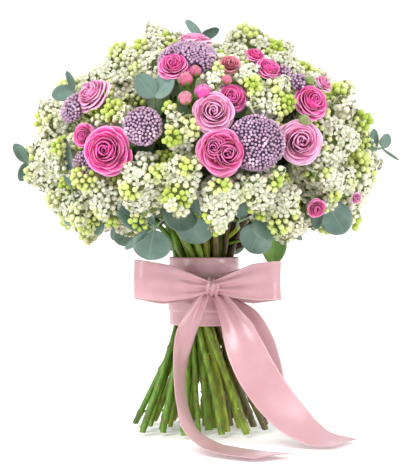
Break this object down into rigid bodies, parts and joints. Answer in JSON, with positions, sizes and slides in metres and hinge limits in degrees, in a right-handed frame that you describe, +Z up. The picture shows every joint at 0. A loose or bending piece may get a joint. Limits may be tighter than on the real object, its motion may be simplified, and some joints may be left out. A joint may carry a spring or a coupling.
{
  "type": "mixed flower bouquet",
  "caption": "Hand-tied mixed bouquet of roses, lilac, mauve heads and eucalyptus, ribboned with a satin bow, standing on its cut stems.",
  "frame": {"origin": "centre of the middle stem's cut end, on the surface that the bouquet stands on", "axes": "+Z up along the bundle of stems, -Y towards the side with the bow, +X to the right as seen from there"},
  "size_m": [0.3863, 0.3648, 0.4087],
  "materials": {
    "stem": "matt green bark, paler at the cut ends",
    "lilac": "matt white petals with yellow-green buds",
    "rose": "soft matt petals, from hot pink to soft pink and salmon",
    "purple": "matt mauve buds",
    "eucalyptus": "waxy blue-green leaf",
    "leaf": "satin green leaf",
    "ribbon": "dusty pink satin",
    "twine": "raw jute"
  },
  "bodies": {
    "root": {"stems": "stem", "binding_twine": "twine", "ribbon_wrap": "ribbon", "ribbon_bow": "ribbon", "ribbon_rear_tail": "ribbon", "rose_left": "rose", "rose_upper_left": "rose", "rose_crown": "rose", "rose_centre_pair": "rose", "rose_heart": "rose", "rose_right": "rose", "rose_far_right_pair": "rose", "rose_top_right_spray": "rose", "rose_low_right_spray": "rose", "rose_top_left_spray": "rose", "rose_back_right": "rose", "rose_back_middle": "rose", "rose_back_top": "rose", "rose_back_left": "rose", "purple_left": "purple", "purple_right": "purple", "purple_crown": "purple", "purple_far_left": "purple", "purple_low_left": "purple", "purple_upper_right": "purple", "purple_back_right": "purple", "purple_back_left": "purple", "eucalyptus_far_left": "eucalyptus", "eucalyptus_upper_left": "eucalyptus", "eucalyptus_crown": "eucalyptus", "eucalyptus_heart_pair": "eucalyptus", "eucalyptus_left_low": "eucalyptus", "eucalyptus_lower_middle": "eucalyptus", "eucalyptus_lower_right": "eucalyptus", "eucalyptus_right_low": "eucalyptus", "eucalyptus_far_right": "eucalyptus", "broad_leaf": "leaf", "eucalyptus_back": "eucalyptus", "lilac_left": "lilac", "lilac_left_low": "lilac", "lilac_under_rose": "lilac", "lilac_lower_middle": "lilac", "lilac_column": "lilac", "lilac_drooping": "lilac", "lilac_lower_right": "lilac", "lilac_drooping_right": "lilac", "lilac_right": "lilac", "lilac_upper_right": "lilac", "lilac_top_right": "lilac", "lilac_crown": "lilac", "lilac_top_left": "lilac", "lilac_upper_left": "lilac", "lilac_beside_leaf": "lilac", "lilac_back_low_right": "lilac", "lilac_back_low_left": "lilac", "lilac_back_right": "lilac", "lilac_back_left": "lilac", "lilac_back_top": "lilac", "lilac_back_top_left": "lilac", "lilac_back_crown": "lilac"}
  },
  "joints": []
}
